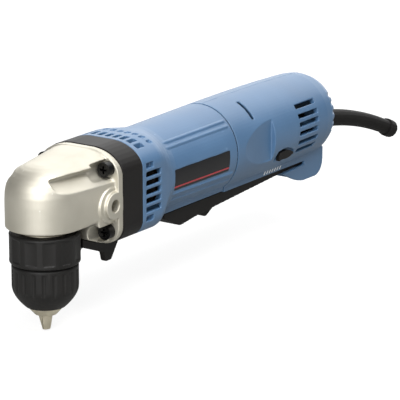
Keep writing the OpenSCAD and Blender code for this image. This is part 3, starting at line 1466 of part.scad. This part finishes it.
module lamp_housing() color(moulded_black) difference() {
    prism_y(concat(
        [[lamp_x0, lamp_front_z], [lamp_knee_x, lamp_knee_z], [lamp_knee_x + over, lamp_z + lamp_tip_r]],
        arc(lamp_knee_x + over + lamp_tip_r, lamp_z + lamp_tip_r, lamp_tip_r, lamp_tip_angles[0],
            lamp_tip_angles[1], 4),
        arc(lamp_knee_x + lamp_tip_l - lamp_tip_r, lamp_z + lamp_tip_r, lamp_tip_r, lamp_tip_angles[1],
            lamp_tip_angles[2], 4),
        [[motor_x - over, lamp_top_z - over], [motor_x - over, lamp_top_z], [head_l - flange_t, lamp_top_z],
            [lamp_x0, lower_front_z - fit]]), -lamp_hw, lamp_hw);
    // Gap between the two fins beside the light
    block([lamp_knee_x, -lamp_hw + lamp_fin_t, 0], [motor_x, lamp_hw - lamp_fin_t, lamp_knee_z]);
    chuck_room();
    at_lens() cylinder(r = lens_r + fit, h = 4 * lens_t);
    at_lens() translate([0, 0, -board_t - fit]) cylinder(r = lens_r + over, h = board_t + 2 * fit);
}

module lamp_lens() color(clear_white) at_lens() {
    cylinder(r = lens_r, h = lens_t / 2);
    translate([0, 0, lens_t / 2]) intersection() {
        cylinder(r = lens_r, h = lens_t);
        translate([0, 0, -lens_r / 2]) sphere(r = norm([lens_r, lens_r / 2]));
    }
}

module lamp_board() color(board_green) at_lens() translate([0, 0, -board_t])
    cylinder(r = lens_r + over - fit, h = board_t);

gear_head();
head_screws();
spindle();
bevel_gear();
spindle_bearing_outer();
spindle_bearing_inner();
bearing_retainer();
spindle_seal();
spindle_bush();
chuck_body();
chuck_rear_sleeve();
chuck_screw();
chuck_front_sleeve();
chuck_nut();
jaw_1();
jaw_2();
jaw_3();
bevel_pinion_shaft();
drive_gear();
pinion_bearing_outer();
pinion_bearing_inner();
pinion_bush();
motor_bracket();
motor_housing();
nameplate();
baffle_plate();
fan();
armature_shaft();
armature_core();
armature_windings();
commutator();
front_bearing_outer();
front_bearing_inner();
rear_bearing_outer();
rear_bearing_inner();
field_core();
field_coils();
brush_holders();
carbon_brushes();
rear_bearing_plate();
rear_cover_right();
rear_cover_left();
cover_screws();
switch_body();
switch_plunger();
plunger_spring();
reversing_lever();
capacitor();
cord_clamp();
clamp_screws();
cord_guard();
paddle();
paddle_pin();
lock_lever();
lock_pin();
lamp_housing();
lamp_lens();
lamp_board();
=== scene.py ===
import bpy
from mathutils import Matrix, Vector


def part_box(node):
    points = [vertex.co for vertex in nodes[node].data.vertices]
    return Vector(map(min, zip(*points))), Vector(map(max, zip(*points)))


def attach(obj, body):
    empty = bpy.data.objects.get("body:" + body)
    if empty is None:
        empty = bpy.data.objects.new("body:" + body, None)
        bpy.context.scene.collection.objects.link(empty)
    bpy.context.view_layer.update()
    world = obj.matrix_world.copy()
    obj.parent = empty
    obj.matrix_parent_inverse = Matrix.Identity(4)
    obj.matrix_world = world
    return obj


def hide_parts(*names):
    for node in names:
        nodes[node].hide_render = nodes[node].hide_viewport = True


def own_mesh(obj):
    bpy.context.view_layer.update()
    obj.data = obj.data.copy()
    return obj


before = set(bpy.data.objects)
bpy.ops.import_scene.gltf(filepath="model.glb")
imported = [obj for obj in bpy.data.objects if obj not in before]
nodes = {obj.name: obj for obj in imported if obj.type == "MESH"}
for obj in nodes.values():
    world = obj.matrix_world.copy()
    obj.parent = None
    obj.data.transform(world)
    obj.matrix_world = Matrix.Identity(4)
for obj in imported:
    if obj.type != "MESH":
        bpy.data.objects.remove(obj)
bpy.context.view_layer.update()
scene = bpy.context.scene
mm = 0.001
print("frame loaded:", len(nodes), "solids")


def linear(hexColour):
    parts = [int(hexColour[i:i + 2], 16) / 255 for i in (1, 3, 5)]
    return tuple(c / 12.92 if c <= 0.04045 else ((c + 0.055) / 1.055) ** 2.4 for c in parts) + (1.0,)


def addNode(tree, kind, settings=None, links=None):
    # a setting goes to the socket of that name or number, or else to the node itself
    node = tree.nodes.new(kind)
    for key, value in (settings or {}).items():
        if isinstance(key, int) or key in node.inputs:
            node.inputs[key].default_value = value
        else:
            setattr(node, key, value)
    for key, socket in (links or {}).items():
        tree.links.new(socket, node.inputs[key])
    return node


# what all the finishes share
finish = dict(
    patchDetail=3.0, patchFrom=0.32, patchTo=0.68,  # how softly the two colours meet
    grainDetail=2.0, grainBump=0.3,
    rubFrom=0.53, rubTo=0.62,  # corners that stand out this much are rubbed
    wavePeriod=0.314, lineDetail=1.0, lineWander=0.6, lineBump=0.5,  # a wave of scale 1 repeats every 0.314
)


def newSurface(name, look):
    # two close colours in soft patches, a fine grain in bump, roughness that drifts a little
    material = bpy.data.materials.new(name)
    material.use_nodes = True
    tree = material.node_tree
    tree.nodes.clear()
    place = addNode(tree, "ShaderNodeTexCoord").outputs["Object"]
    patch = addNode(tree, "ShaderNodeTexNoise",
                    {"Scale": 1 / (look["patchMm"] * mm), "Detail": finish["patchDetail"]}, {"Vector": place})
    ramp = addNode(tree, "ShaderNodeValToRGB", None, {"Fac": patch.outputs["Fac"]})
    ramp.color_ramp.elements[0].position = finish["patchFrom"]
    ramp.color_ramp.elements[0].color = linear(look["shade"])
    ramp.color_ramp.elements[1].position = finish["patchTo"]
    ramp.color_ramp.elements[1].color = linear(look["base"])
    colour = ramp.outputs["Color"]
    if "worn" in look:
        # rubbed edges: the corners that stand out are a little lighter
        edge = addNode(tree, "ShaderNodeNewGeometry").outputs["Pointiness"]
        rub = addNode(tree, "ShaderNodeMapRange",
                      {"From Min": finish["rubFrom"], "From Max": finish["rubTo"],
                       "To Max": look["wornShare"]}, {"Value": edge})
        mixed = addNode(tree, "ShaderNodeMix", {"data_type": "RGBA", 7: linear(look["worn"])},
                        {0: rub.outputs["Result"], 6: colour})
        colour = mixed.outputs[2]
    rough = addNode(tree, "ShaderNodeMapRange",
                    {"To Min": look["rough"][0], "To Max": look["rough"][1]}, {"Value": patch.outputs["Fac"]})
    grain = addNode(tree, "ShaderNodeTexNoise",
                    {"Scale": 1 / (look["grainMm"] * mm), "Detail": finish["grainDetail"]}, {"Vector": place})
    bump = addNode(tree, "ShaderNodeBump",
                   {"Strength": look.get("bump", finish["grainBump"]), "Distance": look["reliefMm"] * mm},
                   {"Height": grain.outputs["Fac"]})
    if "lines" in look:
        # tool marks, wire strands or laminations: bands along one axis, added under the grain
        lines = look["lines"]
        bands = addNode(tree, "ShaderNodeTexWave",
                        {"bands_direction": lines["axis"], "Detail": finish["lineDetail"],
                         "Scale": finish["wavePeriod"] / (lines["pitchMm"] * mm),
                         "Distortion": lines.get("wander", finish["lineWander"])}, {"Vector": place})
        ridges = addNode(tree, "ShaderNodeBump",
                         {"Strength": finish["lineBump"], "Distance": lines["reliefMm"] * mm},
                         {"Height": bands.outputs["Fac"]})
        tree.links.new(ridges.outputs["Normal"], bump.inputs["Normal"])
    shader = addNode(tree, "ShaderNodeBsdfPrincipled", {"Metallic": look.get("metallic", 0.0)},
                     {"Base Color": colour, "Roughness": rough.outputs["Result"],
                      "Normal": bump.outputs["Normal"]})
    for key, socket in (("ior", "IOR"), ("specular", "Specular IOR Level"), ("clear", "Transmission Weight")):
        if key in look:
            shader.inputs[socket].default_value = look[key]
    addNode(tree, "ShaderNodeOutputMaterial", None, {"Surface": shader.outputs["BSDF"]})
    return material


# die-cast aluminium, tumbled and lacquered: a pale warm silver with a soft broad shine and a fine cast skin
castAluminium = newSurface("castAluminium", dict(
    base="#d2cec2", shade="#c4c0b3", metallic=0.92, rough=(0.52, 0.62), patchMm=22,
    grainMm=0.7, reliefMm=0.03, bump=0.25, worn="#f0efeb", wornShare=0.5))
# glass-filled nylon, spark-eroded mould: dull blue, the 0.4 mm mould grain drawn at 0.8 mm so that it shows
blueNylon = newSurface("blueNylon", dict(
    base="#476b8f", shade="#406386", rough=(0.44, 0.52), ior=1.53, specular=0.85, patchMm=30,
    grainMm=0.8, reliefMm=0.03, bump=0.3, worn="#7c98ba", wornShare=0.35))
# the same nylon in black, from a matt mould
blackNylon = newSurface("blackNylon", dict(
    base="#161413", shade="#110f0f", rough=(0.5, 0.6), ior=1.53, specular=0.22, patchMm=20,
    grainMm=0.8, reliefMm=0.03, bump=0.3, worn="#3a3735", wornShare=0.3))
# chuck sleeves: smoother black nylon with a hand-rubbed satin
sleeveNylon = newSurface("sleeveNylon", dict(
    base="#191817", shade="#131211", rough=(0.46, 0.56), ior=1.53, specular=0.3, patchMm=14,
    grainMm=0.9, reliefMm=0.02, bump=0.25, worn="#383634", wornShare=0.3))
# moulded synthetic rubber: black, dull, bloomed a little
softRubber = newSurface("softRubber", dict(
    base="#1a1918", shade="#141313", rough=(0.6, 0.72), ior=1.52, specular=0.14, patchMm=12,
    grainMm=1.0, reliefMm=0.04, bump=0.3, worn="#3f3d3b", wornShare=0.3))
# turned and ground tool steel: bright, with fine turning marks round the axis, drawn at 0.5 mm
turnedSteel = newSurface("turnedSteel", dict(
    base="#efe8d4", shade="#e2dac4", metallic=1.0, rough=(0.46, 0.56), patchMm=6,
    grainMm=0.5, reliefMm=0.01, bump=0.2, lines=dict(axis="Z", pitchMm=0.5, reliefMm=0.006)))
# blackened steel screws and gears, oiled: dark, with small glints
darkSteel = newSurface("darkSteel", dict(
    base="#303031", shade="#242425", metallic=1.0, rough=(0.34, 0.46), patchMm=5,
    grainMm=0.4, reliefMm=0.01, bump=0.3))
# electrical sheet, punched and stacked: grey, 0.5 mm laminations drawn at 0.8 mm
stackedSheet = newSurface("stackedSheet", dict(
    base="#6d6c6a", shade="#5a5957", metallic=1.0, rough=(0.4, 0.52), patchMm=8,
    grainMm=0.5, reliefMm=0.01, lines=dict(axis="X", pitchMm=0.8, reliefMm=0.06)))
# enamelled copper wire, wound: strands of 0.5 mm drawn at 0.9 mm
woundCopper = newSurface("woundCopper", dict(
    base="#b86f3c", shade="#98552a", metallic=0.9, rough=(0.28, 0.4), patchMm=4,
    grainMm=0.6, reliefMm=0.02, lines=dict(axis="X", pitchMm=0.9, reliefMm=0.12, wander=1.5)))
# pressed brass and sintered bronze: a soft yellow shine
pressedBrass = newSurface("pressedBrass", dict(
    base="#c3a35c", shade="#ac8c47", metallic=1.0, rough=(0.3, 0.42), patchMm=5,
    grainMm=0.4, reliefMm=0.015))
# pressed graphite brush: dark and dull
pressedCarbon = newSurface("pressedCarbon", dict(
    base="#303032", shade="#262628", rough=(0.5, 0.62), patchMm=3,
    grainMm=0.4, reliefMm=0.03))
# glass-epoxy board under lacquer: green and glossy
lacqueredBoard = newSurface("lacqueredBoard", dict(
    base="#2c6a3f", shade="#245a35", rough=(0.25, 0.35), ior=1.55, patchMm=4,
    grainMm=0.6, reliefMm=0.01))
# polycarbonate lens: clear, moulded smooth
clearLens = newSurface("clearLens", dict(
    base="#eef3f6", shade="#e6edf2", rough=(0.05, 0.1), ior=1.58, clear=0.85, patchMm=6,
    grainMm=1.5, reliefMm=0.005))
# printed polyester film under a satin laminate: near black, with a faint leather-like emboss
printedFilm = newSurface("printedFilm", dict(
    base="#17171a", shade="#121215", rough=(0.3, 0.38), ior=1.58, specular=0.22, patchMm=16,
    grainMm=0.6, reliefMm=0.01))
# red ink under the same laminate
redPrint = newSurface("redPrint", dict(
    base="#b52230", shade="#a51d2a", rough=(0.26, 0.34), ior=1.58, patchMm=9,
    grainMm=0.6, reliefMm=0.01))
# pad-printed white ink: flat, slightly uneven
whiteInk = newSurface("whiteInk", dict(
    base="#eef0f0", shade="#dfe3e5", rough=(0.45, 0.55), patchMm=2,
    grainMm=0.4, reliefMm=0.01))
print("materials made")


def dress(obj, material):
    obj.data.materials.clear()
    obj.data.materials.append(material)


# solids that keep their CAD mesh
keptNodes = [
    (turnedSteel, ["jaw_1", "jaw_2", "jaw_3", "chuck_body", "spindle", "spindle_bearing_outer",
                   "spindle_bearing_inner", "pinion_bearing_outer", "pinion_bearing_inner",
                   "front_bearing_outer", "front_bearing_inner", "rear_bearing_outer", "rear_bearing_inner",
                   "armature_shaft", "bearing_retainer", "paddle_pin", "lock_pin", "clamp_screws"]),
    (darkSteel, ["head_screws", "cover_screws", "bevel_gear", "bevel_pinion_shaft", "drive_gear",
                 "chuck_screw", "chuck_nut"]),
    (stackedSheet, ["field_core", "armature_core"]),
    (woundCopper, ["field_coils", "armature_windings", "commutator"]),
    (pressedBrass, ["spindle_bush", "pinion_bush", "brush_holders"]),
    (pressedCarbon, ["carbon_brushes"]),
    (lacqueredBoard, ["lamp_board"]),
    (clearLens, ["lamp_lens"]),
    (printedFilm, ["nameplate"]),
    (softRubber, ["spindle_seal"]),
    (blackNylon, ["fan", "baffle_plate", "rear_bearing_plate", "switch_body", "switch_plunger",
                  "capacitor", "cord_clamp"]),
]
for material, names in keptNodes:
    for name in names:
        dress(nodes[name], material)
print("solids dressed")

meshing = dict(weldMm=0.01, smoothShare=0.5)


def roundedShell(name, look):
    # the solid is remeshed finely and smoothed, so each sharp edge gets a small radius
    shell = bpy.data.objects.new(name, nodes[look["node"]].data.copy())
    scene.collection.objects.link(shell)
    weld = shell.modifiers.new("weld", "WELD")
    weld.merge_threshold = meshing["weldMm"] * mm
    remesh = shell.modifiers.new("remesh", "REMESH")
    remesh.mode = "VOXEL"
    remesh.voxel_size = look["voxelMm"] * mm
    remesh.use_smooth_shade = True
    smooth = shell.modifiers.new("smooth", "SMOOTH")
    smooth.factor = meshing["smoothShare"]
    smooth.iterations = look["rounds"]
    thin = shell.modifiers.new("thin", "DECIMATE")
    thin.ratio = look["keep"]
    bpy.context.view_layer.update()
    baked = bpy.data.meshes.new_from_object(shell.evaluated_get(bpy.context.evaluated_depsgraph_get()))
    shell.modifiers.clear()
    shell.data = baked
    baked.name = name
    for face in baked.polygons:
        face.use_smooth = True
    dress(shell, look["material"])
    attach(shell, look["body"])
    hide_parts(look["node"])
    print(name, len(baked.polygons), "faces")
    return shell


castHead = dict(voxelMm=0.3, rounds=24, keep=0.4, material=castAluminium,
                slot="cast_aluminium", body="housing")
blueShell = dict(voxelMm=0.3, rounds=4, keep=0.35, material=blueNylon, slot="blue_plastic", body="housing")
blackShell = dict(voxelMm=0.3, rounds=3, keep=0.35, material=blackNylon, slot="black_plastic", body="housing")
sleeveShell = dict(voxelMm=0.24, rounds=3, keep=0.35, material=sleeveNylon, slot="black_plastic")

roundedShell("angleHead", castHead | dict(node="gear_head"))
roundedShell("motorShell", blueShell | dict(node="motor_housing"))
rearShellRight = roundedShell("rearShellRight", blueShell | dict(node="rear_cover_right"))
roundedShell("rearShellLeft", blueShell | dict(node="rear_cover_left"))
roundedShell("bracketRing", blackShell | dict(node="motor_bracket"))
roundedShell("lampShroud", blackShell | dict(node="lamp_housing"))
roundedShell("paddleGrip", blackShell | dict(node="paddle", body="paddle"))
roundedShell("lockTab", blackShell | dict(node="lock_lever", body="lock_lever", voxelMm=0.2))
roundedShell("reversingKnob", blackShell | dict(node="reversing_lever", body="reversing_lever", voxelMm=0.2))
roundedShell("rearSleeve", sleeveShell | dict(node="chuck_rear_sleeve", body="spindle"))
roundedShell("frontSleeve", sleeveShell | dict(node="chuck_front_sleeve", body="chuck_sleeve"))
roundedShell("cordGuard", blackShell | dict(node="cord_guard", material=softRubber, slot="black_rubber"))
print("shells made")

# the spring above the switch plunger shortens as the plunger lifts; here it is a plain copy of its solid,
# carried with the housing
spring = dict(node="plunger_spring", joint="switch_plunger_lift", liftMm=1.45)
plungerSpring = bpy.data.objects.new("plungerSpring", nodes[spring["node"]].data.copy())
scene.collection.objects.link(plungerSpring)
dress(plungerSpring, turnedSteel)
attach(plungerSpring, "housing")
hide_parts(spring["node"])
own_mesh(plungerSpring)
print("spring made")

outsideY = -0.2  # well clear of the drill on the nameplate's side


def surfacePoint(obj, x, z):
    # where the -Y face of a solid is at x, z, and which way it looks
    return obj.ray_cast(Vector((x, outsideY, z)), Vector((0, 1, 0)))[1:3]


def printedStrip(name, look):
    # a thin strip of ink that follows the face below it, from the low line to the high line
    steps = look["steps"]
    points = []
    for i in range(steps + 1):
        t = i / steps
        for start, end in (look["low"], look["high"]):
            x, z = ((a * (1 - t) + b * t) * mm for a, b in zip(start, end))
            place, normal = surfacePoint(look["on"], x, z)
            points += [place - normal * look["sinkMm"] * mm, place + normal * look["proudMm"] * mm]
    faces = []
    for i in range(steps):
        a, b = 4 * i, 4 * i + 4  # four points a step: low line sunk and proud, then the high line
        faces += [(a + 1, b + 1, b + 3, a + 3), (a, a + 2, b + 2, b), (a, b, b + 1, a + 1),
                  (a + 2, a + 3, b + 3, b + 2)]
    last = 4 * steps
    faces += [(0, 1, 3, 2), (last, last + 2, last + 3, last + 1)]
    mesh = bpy.data.meshes.new(name)
    mesh.from_pydata([tuple(p) for p in points], [], faces)
    mesh.update()
    strip = bpy.data.objects.new(name, mesh)
    scene.collection.objects.link(strip)
    dress(strip, look["material"])
    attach(strip, "housing")


# one plain stripe along the lower edge of the nameplate, in millimetres
stripe = dict(fromEdge=1.5, wide=0.9, endGap=0.15)
plateLow, plateHigh = (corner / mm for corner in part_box("nameplate"))
stripeFrom, stripeTo = plateLow.x + stripe["endGap"], plateHigh.x - stripe["endGap"]
stripeLow = plateLow.z + stripe["fromEdge"]
stripeHigh = stripeLow + stripe["wide"]
printedStrip("plateStripe", dict(
    low=[(stripeFrom, stripeLow), (stripeTo, stripeLow)],
    high=[(stripeFrom, stripeHigh), (stripeTo, stripeHigh)],
    steps=24, on=nodes["nameplate"], sinkMm=0.05, proudMm=0.06, material=redPrint, slot="black_plastic"))

# a row of short slanted strokes on the skirt, in front of the reversing lever
bpy.context.view_layer.update()
marks = dict(fromX=183.2, pitch=2.7, count=7, wide=1.1, lowZ=44.8, tall=1.9, slant=1.2)
markHigh = marks["lowZ"] + marks["tall"]
for i in range(marks["count"]):
    footX = marks["fromX"] + i * marks["pitch"]
    headX = footX + marks["slant"]
    printedStrip(f"directionMark{i + 1}", dict(
        low=[(footX, marks["lowZ"]), (footX + marks["wide"], marks["lowZ"])],
        high=[(headX, markHigh), (headX + marks["wide"], markHigh)],
        steps=2, on=rearShellRight, sinkMm=0.05, proudMm=0.05, material=whiteInk, slot="blue_plastic"))
print("print added")


def makeFloor(look):
    half, z = look["half"], look["z"]
    mesh = bpy.data.meshes.new("paleFloor")
    mesh.from_pydata([(-half, -half, z), (half, -half, z), (half, half, z), (-half, half, z)], [],
                     [(0, 1, 2, 3)])
    floor = bpy.data.objects.new("paleFloor", mesh)
    scene.collection.objects.link(floor)
    material = bpy.data.materials.new("palePaper")
    material.use_nodes = True
    tree = material.node_tree
    tree.nodes.clear()
    place = addNode(tree, "ShaderNodeTexCoord").outputs["Object"]
    fibre = addNode(tree, "ShaderNodeTexNoise", {"Scale": 1 / (look["fibreMm"] * mm)}, {"Vector": place})
    paper = addNode(tree, "ShaderNodeValToRGB", None, {"Fac": fibre.outputs["Fac"]})
    paper.color_ramp.elements[0].color = linear(look["shade"])
    paper.color_ramp.elements[1].color = linear(look["base"])
    pale = addNode(tree, "ShaderNodeBsdfDiffuse", None, {"Color": paper.outputs["Color"]})
    white = addNode(tree, "ShaderNodeEmission", {"Strength": look["whiteLevel"]})
    backdrop = addNode(tree, "ShaderNodeMixShader", {0: look["whiteShare"]},
                       {1: pale.outputs["BSDF"], 2: white.outputs["Emission"]})
    # the camera sees a white backdrop with the shadow on it, the drill sees a plain studio floor
    plain = addNode(tree, "ShaderNodeBsdfDiffuse", {"Color": linear(look["plain"])})
    path = addNode(tree, "ShaderNodeLightPath")
    seen = addNode(tree, "ShaderNodeMath", {"operation": "MAXIMUM"},
                   {0: path.outputs["Is Camera Ray"], 1: path.outputs["Is Transmission Ray"]})
    mixed = addNode(tree, "ShaderNodeMixShader", None,
                    {0: seen.outputs["Value"], 1: plain.outputs["BSDF"], 2: backdrop.outputs["Shader"]})
    addNode(tree, "ShaderNodeOutputMaterial", None, {"Surface": mixed.outputs["Shader"]})
    dress(floor, material)


makeFloor(dict(half=12, z=-0.001, base="#f8f8f7", shade="#f4f4f3", plain="#9c9c9a", fibreMm=3,
               whiteShare=0.75, whiteLevel=1.1))

skyLook = dict(colour="#ffffff", onDrill=0.2, behind=1.0)
studioWorld = bpy.data.worlds.new("studioWorld")
studioWorld.use_nodes = True
skyTree = studioWorld.node_tree
skyTree.nodes.clear()
skyPath = addNode(skyTree, "ShaderNodeLightPath")
skyLevel = addNode(skyTree, "ShaderNodeMapRange", {"To Min": skyLook["onDrill"], "To Max": skyLook["behind"]},
                   {"Value": skyPath.outputs["Is Camera Ray"]})
sky = addNode(skyTree, "ShaderNodeBackground", {"Color": linear(skyLook["colour"])},
              {"Strength": skyLevel.outputs["Result"]})
addNode(skyTree, "ShaderNodeOutputWorld", None, {"Surface": sky.outputs["Background"]})
scene.world = studioWorld

lamps = dict(
    backPanel=dict(place=(1.15, 0.4, 0.8), size=2.0, watts=21),
    topSoftbox=dict(place=(-0.1, -0.6, 1.35), size=1.0, watts=21),
    frontSoftbox=dict(place=(-0.8, -0.3, 0.42), size=0.7, watts=8.5),
)
lampAim = Vector((0.13, 0, 0.06))  # the middle of the drill
for name, look in lamps.items():
    light = bpy.data.lights.new(name, "AREA")
    light.shape = "DISK"
    light.size = look["size"]
    light.energy = look["watts"]
    lamp = bpy.data.objects.new(name, light)
    lamp.location = look["place"]
    lamp.rotation_euler = (lampAim - lamp.location).to_track_quat("-Z", "Y").to_euler()
    scene.collection.objects.link(lamp)

cameraView = dict(place=(-1.01993, -0.80745, 0.43757), along=(0.79013, 0.54915, -0.27228),
                  lens=234, sensor=36, near=0.05)
lensData = bpy.data.cameras.new("photoCamera")
lensData.lens = cameraView["lens"]
lensData.sensor_width = cameraView["sensor"]
lensData.clip_start = cameraView["near"]
photoCamera = bpy.data.objects.new("photoCamera", lensData)
photoCamera.location = cameraView["place"]
photoCamera.rotation_euler = Vector(cameraView["along"]).to_track_quat("-Z", "Y").to_euler()
scene.collection.objects.link(photoCamera)
scene.camera = photoCamera
scene.view_settings.view_transform = "Standard"
print("stage, light and camera set")
